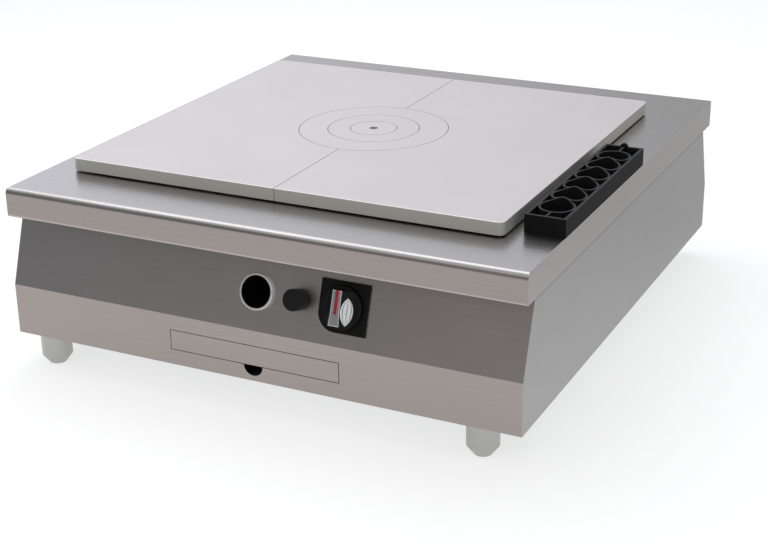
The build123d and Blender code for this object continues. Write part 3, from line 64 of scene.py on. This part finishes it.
# Studio
# A wide white floor that keeps the soft shadow, a white surround, a broad lamp high up behind on the
# left, and a weak one in front. Four cards show only in reflections: a dark one at the front left for
# the sloping steel, two behind, one over the other, and one on the floor at the right.
scene.view_settings.view_transform = "Standard"


def wire(tree, kind, inputs=None, **fields):
    """One shader node; inputs is socket name to value or to another node's output."""
    made = tree.nodes.new(kind)
    for key, value in fields.items():
        setattr(made, key, value)
    for key, value in (inputs or {}).items():
        if isinstance(value, bpy.types.NodeSocket):
            tree.links.new(value, made.inputs[key])
        else:
            made.inputs[key].default_value = value
    return made


def calc(tree, operation, a, b=0.0):
    """The output of one sum on two numbers; b is left out where the operation takes one."""
    return wire(tree, "ShaderNodeMath", {0: a, 1: b}, operation=operation).outputs[0]


def seen_directly(tree):
    """1 where the eye, a reflection or a view through glass meets the surface, else 0."""
    path = wire(tree, "ShaderNodeLightPath").outputs
    first = calc(tree, "MAXIMUM", path["Is Camera Ray"], path["Is Glossy Ray"])
    return calc(tree, "MAXIMUM", first, path["Is Transmission Ray"])


world = bpy.data.worlds.new("surround")
world.use_nodes = True
tree = world.node_tree
tree.nodes.clear()
room = wire(tree, "ShaderNodeBackground", {"Color": (0.95, 0.97, 1.0, 1), "Strength": 0.55})
white = wire(tree, "ShaderNodeBackground", {"Color": (1, 1, 1, 1), "Strength": 1.0})
both = wire(tree, "ShaderNodeMixShader", {0: seen_directly(tree), 1: room.outputs[0], 2: white.outputs[0]})
wire(tree, "ShaderNodeOutputWorld", {"Surface": both.outputs[0]})
scene.world = world


def blank(name):
    """A new material and its empty node tree."""
    made = bpy.data.materials.new(name)
    made.use_nodes = True
    made.node_tree.nodes.clear()
    return made, made.node_tree


def sheet(name, corners, material):
    """A single four-cornered face, which belongs to the studio and not to the object."""
    mesh = bpy.data.meshes.new(name)
    mesh.from_pydata(corners, [], [(0, 1, 2, 3)])
    mesh.materials.append(material)
    made = bpy.data.objects.new(name, mesh)
    scene.collection.objects.link(made)
    return made


def lying(low, high, lift):
    """The corners of a level sheet, from its lowest x and y to its highest."""
    return [(*low, lift), (high[0], low[1], lift), (*high, lift), (low[0], high[1], lift)]


ground, tree = blank("studio_floor")
paper = wire(tree, "ShaderNodeBsdfDiffuse", {"Color": (0.88, 0.88, 0.88, 1)})
glow = wire(tree, "ShaderNodeEmission", {"Color": (1, 1, 1, 1), "Strength": 1.3})
lit = wire(tree, "ShaderNodeMixShader", {0: 0.5, 1: paper.outputs[0], 2: glow.outputs[0]})
shown = wire(tree, "ShaderNodeMixShader", {0: seen_directly(tree), 1: paper.outputs[0], 2: lit.outputs[0]})
wire(tree, "ShaderNodeOutputMaterial", {"Surface": shown.outputs[0]})
floor_reach = 15
sheet("studio_floor", lying((-floor_reach, -floor_reach), (floor_reach, floor_reach), 0), ground)

lamp_depth = 1.6
for name, place, aim, width, power, tint, mirrored in (
        ("lamp_behind", (-0.8, 0.5, 2.4), (-0.4, 0, 0.2), 3.2, 37, (0.95, 0.97, 1.0), True),
        ("lamp_front", (-0.9, -3.0, 1.7), (0, -0.3, 0.15), 2.0, 16, (1.0, 0.96, 0.92), False)):
    lamp = bpy.data.lights.new(name, "AREA")
    lamp.shape = "RECTANGLE"
    lamp.size, lamp.size_y = width, lamp_depth
    lamp.energy = power
    lamp.color = tint
    holder = bpy.data.objects.new(name, lamp)
    holder.location = place
    holder.rotation_euler = (Vector(aim) - Vector(place)).to_track_quat("-Z", "Y").to_euler()
    holder.visible_glossy = mirrored
    scene.collection.objects.link(holder)

x_axis, y_axis, z_axis = 0, 1, 2


def upright(start, end, bottom, top):
    """The corners of a sheet that stands between two places on the floor."""
    return [(*start, bottom), (*end, bottom), (*end, top), (*start, top)]


def coordinates(tree):
    """The place of a point on its piece at rest, so that a finish stays put as the piece moves."""
    return wire(tree, "ShaderNodeTexCoord").outputs["Object"]


def along(tree, vector, axis):
    """One of a vector's three numbers."""
    return wire(tree, "ShaderNodeSeparateXYZ", {0: vector}).outputs[axis]


def span(tree, value, low, high, first=0.0, last=1.0):
    """Turns low to high into first to last, and holds the ends outside that."""
    return wire(tree, "ShaderNodeMapRange", {"Value": value, "From Min": low, "From Max": high,
                                             "To Min": first, "To Max": last}).outputs[0]


def mix(tree, share, first, last):
    """The colour first where share is 0, last where it is 1, and their mixture between."""
    ends = [end if isinstance(end, bpy.types.NodeSocket) else (*end, 1) for end in (first, last)]
    return wire(tree, "ShaderNodeMix", {0: share, 6: ends[0], 7: ends[1]}, data_type="RGBA").outputs[2]


# Each card's tone goes evenly from first to last as its axis goes from start to end.
for name, first, last, axis, start, end, corners in (
        ("dark_card_front", (0.305, 0.325, 0.325), (0.375, 0.330, 0.330), x_axis, -1.7, -0.6,
         upright((-3.1, -1.5), (0.4, -3.6), 0.0, 2.2)),
        ("graded_card_behind", (1.19, 1.20, 1.31), (0.61, 0.61, 0.62), x_axis, -1.9, -0.15,
         upright((-3.4, 0.9), (1.6, 3.3), 0.2, 1.4)),
        ("bright_card_behind", (1.85, 1.88, 2.02), (1.10, 1.12, 1.20), x_axis, -2.4, -0.15,
         upright((-3.4, 0.9), (1.6, 3.3), 1.4, 2.6)),
        ("floor_card_side", (1.0, 1.0, 1.0), (0.70, 0.70, 0.70), y_axis, -0.35, 0.6,
         lying((0.45, -0.8), (1.6, 2.0), 0.001))):
    paint, tree = blank(name)
    share = span(tree, along(tree, coordinates(tree), axis), start, end)
    light = wire(tree, "ShaderNodeEmission", {"Color": mix(tree, share, first, last), "Strength": 1.0})
    wire(tree, "ShaderNodeOutputMaterial", {"Surface": light.outputs[0]})
    card = sheet(name, corners, paint)
    card.visible_camera = card.visible_diffuse = card.visible_shadow = card.visible_transmission = False

# Worktop
# One pressed sheet of 2 mm stainless steel, brushed from left to right, with a rolled front edge. Years of
# wiping leave faint cloudy smears on it. Its front faces are painted a warmer tone, a painted reflection,
# and a band along the front apron's lower fold is painted 1.4 times brighter, a painted highlight.


def dress(material, *names):
    """Puts one finish on CAD pieces."""
    for name in names:
        mesh = nodes[name].data
        mesh.materials.clear()
        mesh.materials.append(material)
        for face in mesh.polygons:
            face.material_index = 0


def noise(tree, place, scale, detail, roughness=0.5):
    """Soft random spots between 0 and 1; scale is about how many lie in one unit of place."""
    return wire(tree, "ShaderNodeTexNoise", {"Vector": place, "Scale": scale, "Detail": detail,
                                             "Roughness": roughness}).outputs[0]


def spread(tree, spots, low, high):
    """Noise mostly lies between 0.3 and 0.7, and this spreads it out from low to high."""
    return span(tree, spots, 0.3, 0.7, low, high)


def stretched(tree, place, grain, fine, coarse):
    """Coordinates for a pattern that is coarse along the axis grain and fine across it."""
    scale = [fine, fine, fine]
    scale[grain] = coarse
    return wire(tree, "ShaderNodeMapping", {"Vector": place, "Scale": scale}).outputs[0]


def facing(tree, axis):
    """How far the surface faces along an axis, from -1 to 1."""
    return along(tree, wire(tree, "ShaderNodeNewGeometry").outputs["Normal"], axis)


def times(tree, colour, factor):
    """A colour multiplied by a number."""
    return wire(tree, "ShaderNodeVectorMath", {0: colour, "Scale": factor}, operation="SCALE").outputs[0]


def raised(tree, height, distance, strength):
    """The tilt that a pattern gives the surface where it stands out by up to distance."""
    return wire(tree, "ShaderNodeBump", {"Height": height, "Distance": distance,
                                         "Strength": strength}).outputs[0]


def skin(tree, colour, rough, relief, metal=0.0, gleam=0.5):
    """The surface itself, joined to the material's output."""
    made = wire(tree, "ShaderNodeBsdfPrincipled", {"Base Color": colour, "Roughness": rough,
                                                   "Normal": relief, "Metallic": metal,
                                                   "Specular IOR Level": gleam})
    wire(tree, "ShaderNodeOutputMaterial", {"Surface": made.outputs[0]})


def brushed(name, colour, grain, rough=0.32, smear=0.018, edge=None, front=None):
    """Brushed sheet: noise drawn out along the axis grain gives the scratches, slow noise the smears.
    front is a warmer tone for the faces that look to the front, a painted reflection colour. edge is
    (low, high, factor): between these two heights the tone is multiplied, a painted highlight where factor
    is above 1 and painted shade where it is below 1; where front is given too, only on those faces."""
    nearly_front, fully_front = -0.93, -0.98
    scratch_gloss = 0.06
    edge_blur = 0.0004
    made, tree = blank(name)
    place = coordinates(tree)
    lines = noise(tree, stretched(tree, place, grain, fine=1400.0, coarse=9.0), scale=1.0, detail=3.0)
    bands = noise(tree, stretched(tree, place, grain, fine=260.0, coarse=3.0), scale=1.0, detail=2.0)
    cloud = noise(tree, place, scale=5.0, detail=3.0, roughness=0.55)
    wash = spread(tree, cloud, 1 - smear, 1 + smear)
    shade = calc(tree, "MULTIPLY", spread(tree, bands, 1 - smear, 1 + smear), wash)
    steel = colour
    # The warmer tone of the faces that look to the front is a painted reflection colour.
    if front:
        ahead = span(tree, facing(tree, y_axis), nearly_front, fully_front)
        steel = mix(tree, ahead, colour, front)
    # The band between the two heights is painted light: brighter for a painted highlight, darker for
    # painted shade.
    if edge:
        low, high, factor = edge
        height = along(tree, place, z_axis)
        inside = calc(tree, "MULTIPLY", span(tree, height, low - edge_blur, low),
                      span(tree, height, high + edge_blur, high))
        if front:
            inside = calc(tree, "MULTIPLY", inside, ahead)
        shade = calc(tree, "MULTIPLY", shade, span(tree, inside, 0.0, 1.0, 1.0, factor))
    polish = span(tree, lines, 0.25, 0.75, rough - scratch_gloss, rough + scratch_gloss)
    skin(tree, times(tree, steel, shade), calc(tree, "MULTIPLY", polish, wash),
         raised(tree, lines, distance=0.00003, strength=0.2), metal=1.0)
    return made


# The band from 244.0 to 247.6 mm high on the front faces is a painted highlight, and front is a painted
# reflection tone.
dress(brushed("worktop_steel", (0.318, 0.308, 0.304), x_axis, rough=0.27, edge=(0.2440, 0.2476, 1.4),
              front=(0.320, 0.286, 0.272)), "worktop")

# Side panels
# Folded stainless sheet with a thick hem round the edge; the brushing runs from front to back.
# A band just under the worktop's apron is painted 0.6 times as dark, painted shade under its overhang.
# The band from 239.5 to 245.0 mm high is painted shade.
dress(brushed("side_steel", (0.312, 0.312, 0.312), y_axis, edge=(0.2395, 0.2450, 0.6)),
      "side_panel_left", "side_panel_right")

# Front band and drawer front
# Stainless sheet with the drawer's flush front let into it, both brushed from left to right.
# The drawer front has a return along its lower edge for the fingers, and is fixed to the tray.
dress(brushed("band_steel", (0.36, 0.32, 0.30), x_axis), "lower_front_panel", "drawer_front")

# Control fascia
# Stainless sheet, folded upright behind the apron and fixed over the side panels' edges. Its slope
# mirrors the dark side of the room, so that it looks darker than the upright band below it.
dress(brushed("fascia_steel", (0.347, 0.326, 0.325), x_axis, rough=0.34), "control_fascia")

# Hot plate, rings and lid
# Cast steel, ground flat on top to a very fine even grain. The sides keep the slightly yellower tone of
# the casting skin, and the rounded edges are rubbed bright. All of them lie loose in their seats.


def ground_cast(name, top, side, rubbed_and_lit):
    """Cast metal with a fine even grain. The upward faces have the tone top and the sides the tone side.
    Between them, where the rounded edge tilts from edge_start to edge_end, lies the rubbed edge's tone
    rubbed_and_lit."""
    side_end, edge_start, edge_end, top_start = 0.25, 0.5, 0.9, 0.99
    smooth, rough = 0.42, 0.62
    made, tree = blank(name)
    place = coordinates(tree)
    up = facing(tree, z_axis)
    worn = calc(tree, "MULTIPLY", span(tree, up, side_end, edge_start), span(tree, up, top_start, edge_end))
    paint = mix(tree, span(tree, up, low=0.6, high=0.95), side, top)
    fine = noise(tree, place, scale=900.0, detail=3.0)
    wash = spread(tree, noise(tree, place, scale=6.0, detail=4.0, roughness=0.6), 0.975, 1.025)
    skin(tree, times(tree, mix(tree, worn, paint, rubbed_and_lit), wash), span(tree, fine, 0.0, 1.0, smooth, rough),
         raised(tree, fine, distance=0.00006, strength=0.4), metal=0.35)
    return made


dress(ground_cast("plate_ground", (0.510, 0.483, 0.497), (0.50, 0.50, 0.455), (0.80, 0.80, 0.78)),
      "plate_left", "plate_right", "outer_ring", "middle_ring", "centre_lid")

# Flue grille and the hob's dark castings
# Cast iron with its sandy skin, blackened by heat; the grille's upward faces are painted five times paler,
# a painted top light. The grille lies loose in the flue's opening, the frame carries the plate, and the
# burner stands on legs.


def cast(name, colour, rough=0.6, depth=0.0002, metal=0.4, gleam=0.5, rim=1.0):
    """Sand-cast skin: two sizes of noise give the grain, and the finer one varies the gloss. rim is how
    much brighter the upward faces are painted, a painted top light where rim is above 1."""
    gloss_change = 0.12
    made, tree = blank(name)
    place = coordinates(tree)
    sand = noise(tree, place, scale=700.0, detail=4.0)
    wash = spread(tree, noise(tree, place, scale=60.0, detail=3.0), 0.8, 1.2)
    # The upward faces are painted up to rim times paler: a painted top light.
    rubbed_and_lit = span(tree, facing(tree, z_axis), low=0.3, high=0.9, first=1.0, last=rim)
    gloss = span(tree, sand, 0.0, 1.0, rough - gloss_change, rough + gloss_change)
    skin(tree, times(tree, colour, calc(tree, "MULTIPLY", wash, rubbed_and_lit)), gloss,
         raised(tree, sand, depth, strength=0.5), metal=metal, gleam=gleam)
    return made


# The grille's upward faces are painted five times paler, a painted top light.
dress(cast("grille_iron", (0.006, 0.006, 0.0063), rough=0.66, metal=0.0, gleam=0.12, rim=5), "flue_grille")
dress(cast("dark_iron", (0.05, 0.048, 0.046)),
      "hob_frame", "seam_supports", "burner_body", "burner_cap", "burner_legs", "mixing_tube")

# Sight ring and tube
# A ring turned from stainless bar, pressed into the fascia, and the sooty tube behind it.
# The tube leads to the firebox, so that the flame can be seen through it.
dress(brushed("turned_steel", (0.80, 0.78, 0.76), x_axis, rough=0.22), "sight_ring")
dress(cast("sooty_steel", (0.003, 0.003, 0.003), rough=0.9, metal=0.0, gleam=0.05), "sight_tube")

# Igniter
# A black phenolic push button in a plated collar, which a hexagon nut clamps to the fascia from behind,
# with the piezo cartridge behind the collar.


def moulded(name, colour, rough=0.35, gleam=0.5):
    """Moulded plastic: a fine even grain, with slow changes of gloss from handling."""
    gloss_change = 0.06
    made, tree = blank(name)
    place = coordinates(tree)
    fine = noise(tree, place, scale=900.0, detail=2.0)
    worn = noise(tree, place, scale=45.0, detail=3.0)
    skin(tree, times(tree, colour, spread(tree, worn, 0.92, 1.08)),
         spread(tree, worn, rough - gloss_change, rough + gloss_change),
         raised(tree, fine, distance=0.00004, strength=0.3), gleam=gleam)
    return made


dress(moulded("button_black", (0.005, 0.005, 0.0053), rough=0.45, gleam=0.2), "igniter_button")
dress(brushed("plated_steel", (0.55, 0.55, 0.55), z_axis, rough=0.25), "igniter_collar", "igniter_nut")
dress(moulded("igniter_grey", (0.08, 0.08, 0.085)), "igniter_body")

# Knob and bezel
# Black moulded plate, and a knob with a bar grip that sits on the tap's spindle. The grip has a grey
# insert with a red line and a raised border, and a leaf-shaped inlay in each flank: foil on the right
# and black on the left.
dress(moulded("bezel_black", (0.0036, 0.0040, 0.0034), rough=0.5, gleam=0.12), "knob_bezel")
dress(moulded("knob_black", (0.0034, 0.0036, 0.0034), rough=0.5, gleam=0.16), "knob")
dress(moulded("insert_grey", (0.21, 0.21, 0.22), rough=0.5, gleam=0.3), "knob_index_plate")
dress(moulded("line_red", (0.34, 0.012, 0.028), rough=0.45, gleam=0.2), "knob_pointer")

# The knob's own axes: right, up the slope, and out of it. Its centre is on the fascia's face.
lean_sine, lean_cosine = 0.3247, 0.9458
knob_right = Vector((1, 0, 0))
knob_up = Vector((0, lean_sine, lean_cosine))
knob_out = Vector((0, -lean_cosine, lean_sine))
insert_top = 0.028
insert_thickness = 0.001
insert_low, insert_high = [Vector(corner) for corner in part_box("knob_index_plate")]
knob_centre = (insert_low + insert_high) / 2 - knob_out * (insert_top - insert_thickness / 2)


def veined(name, pale, dark, left_tone):
    """Embossed foil on the grip's right flank, and left_tone on its left one. u runs down the flank and v
    along it from the leaf's middle, and the leaf is w = sqrt(radius² - v²) - radius + half_width wide on
    either side. The veins are dark where sin(turns u / w + stir times noise) is high."""
    flank_centre_x, flank_centre_height = 0.0135, 0.01865
    flank_across, flank_down = 0.614, 0.789
    half_width, radius, leaf_drop = 0.010, 0.025, 0.004
    least_width = 0.0008
    turns, stir = 9.4, 2.6
    vein_start, vein_full = 0.35, 0.95
    made, tree = blank(name)
    place = coordinates(tree)
    away = wire(tree, "ShaderNodeVectorMath", {0: place, 1: knob_centre}, operation="SUBTRACT").outputs[0]
    sideways, lengthways, height = [
        wire(tree, "ShaderNodeVectorMath", {0: away, 1: axis}, operation="DOT_PRODUCT").outputs[1]
        for axis in (knob_right, knob_up, knob_out)]
    outside = calc(tree, "SUBTRACT", calc(tree, "ABSOLUTE", sideways), flank_centre_x)
    over = calc(tree, "SUBTRACT", height, flank_centre_height)
    u = calc(tree, "SUBTRACT", calc(tree, "MULTIPLY", outside, flank_across),
             calc(tree, "MULTIPLY", over, flank_down))
    v = calc(tree, "ADD", lengthways, leaf_drop)
    chord = calc(tree, "SQRT", calc(tree, "SUBTRACT", radius ** 2, calc(tree, "MULTIPLY", v, v)))
    w = calc(tree, "SUBTRACT", chord, radius - half_width)
    ratio = calc(tree, "DIVIDE", u, calc(tree, "MAXIMUM", w, least_width))
    stirred = calc(tree, "MULTIPLY", noise(tree, place, scale=160.0, detail=2.0), stir)
    wave = calc(tree, "SINE", calc(tree, "ADD", calc(tree, "MULTIPLY", ratio, turns), stirred))
    foil = mix(tree, span(tree, wave, vein_start, vein_full), pale, dark)
    tone = mix(tree, calc(tree, "GREATER_THAN", sideways), left_tone, foil)
    skin(tree, tone, rough=0.35, relief=raised(tree, wave, distance=0.0002, strength=0.4), metal=0.5)
    return made


dress(veined("inlay_foil", (0.74, 0.76, 0.74), (0.30, 0.31, 0.30), (0.01, 0.01, 0.01)), "knob_scoops")


def strip(name, path, outward, width, height, material):
    """A square strip along a flat path of points: its four corners lie at plus and minus half the width
    on the mitred side direction, and at 0 and height along outward. Both ends are closed."""
    points = np.array(path, float)
    steps = np.diff(points, axis=0)
    steps /= np.linalg.norm(steps, axis=1)[:, None]
    sides = np.cross(steps, outward)
    mitre = np.vstack([sides[:1], sides]) + np.vstack([sides, sides[-1:]])
    mitre *= 2 / np.sum(mitre * mitre, axis=1)[:, None]
    aside = mitre * width / 2
    rise = np.array(outward, float) * height
    rows = [points + aside, points + aside + rise, points - aside + rise, points - aside]
    corners = np.stack(rows, axis=1).reshape(-1, 3)
    count = len(points)
    faces = [(4 * i + k, 4 * i + 4 + k, 4 * i + 4 + (k + 1) % 4, 4 * i + (k + 1) % 4)
             for i in range(count - 1) for k in range(4)]
    faces += [(0, 1, 2, 3), (4 * count - 1, 4 * count - 2, 4 * count - 3, 4 * count - 4)]
    mesh = bpy.data.meshes.new(name)
    mesh.from_pydata(corners.tolist(), [], faces)
    mesh.materials.append(material)
    piece = bpy.data.objects.new(name, mesh)
    scene.collection.objects.link(piece)
    return piece


# The insert's raised border in mm, pale all along, and open at the tip round the red line.
gap_x, tip_x, tail_x = 2.7, 6.55, 7.8
end_y, flare_y = 24.7, -8.6
outline = [(gap_x, end_y), (tip_x, end_y), (tip_x, flare_y), (tail_x, -end_y)]
outline += [(-x, y) for x, y in reversed(outline)]
rim_path = [knob_centre + knob_right * x / 1000 + knob_up * y / 1000 + knob_out * insert_top
            for x, y in outline]
insert_rim = strip("insert_rim", rim_path, knob_out, width=0.0009, height=0.00012,
                   material=moulded("rim_pale", (0.55, 0.55, 0.56), rough=0.4, gleam=0.3))
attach(insert_rim, "knob")

# Gas tap and pipes
# Brass tap with its safety plunger, brass inlet, injector and pilot burner, and drawn steel pipes that
# join them. The tap's bracket is zinc-coated sheet, as are the tray, the rails and the back and floor.
dress(brushed("machined_brass", (0.45, 0.30, 0.10), y_axis, rough=0.3), "valve_body", "valve_plunger",
      "injector", "injector_holder", "gas_inlet_nipple", "pilot_burner")
dress(brushed("zinc_sheet", (0.42, 0.43, 0.44), x_axis, rough=0.45, smear=0.06), "valve_bracket",
      "base_plate", "back_panel", "cross_rails", "drawer_tray", "drawer_runners", "foot_sockets")
dress(brushed("drawn_steel", (0.25, 0.25, 0.26), y_axis, rough=0.4),
      "gas_inlet_pipe", "burner_supply_pipe", "pilot_tube")

# Feet, spindle and screws
# Turned from stainless bar, with a fine lathe finish. The feet screw into sockets on the base, the
# spindle runs in the tap, and the screws hold the back panel.
dress(brushed("foot_steel", (0.44, 0.44, 0.42), x_axis, rough=0.38), "foot_front_left",
      "foot_front_right", "foot_back_left", "foot_back_right", "valve_spindle", "back_panel_screws")

# Firebox
# Heat-tinted steel box and duct, fired clay slabs, and pale mineral wool boards round them.
# The box stands on two rails across the unit.
dress(brushed("heat_steel", (0.20, 0.17, 0.14), x_axis, rough=0.5, smear=0.1), "chamber_shell", "flue_duct")
dress(cast("fired_clay", (0.44, 0.31, 0.19), rough=0.85, depth=0.0004, metal=0.0), "refractory_bricks")
dress(cast("mineral_wool", (0.45, 0.42, 0.33), rough=0.95, depth=0.0006, metal=0.0), "insulation_boards")

# Pilot leads
# Copper thermocouple lead, red silicone ignition lead, and the white glazed electrode sleeve.
# They run from the tap and the piezo cartridge to the pilot burner.
dress(brushed("copper_lead", (0.45, 0.20, 0.11), y_axis, rough=0.3), "thermocouple")
dress(moulded("silicone_red", (0.28, 0.02, 0.015), rough=0.5), "ignition_lead")
dress(moulded("glazed_white", (0.70, 0.68, 0.62), rough=0.25), "spark_electrode")
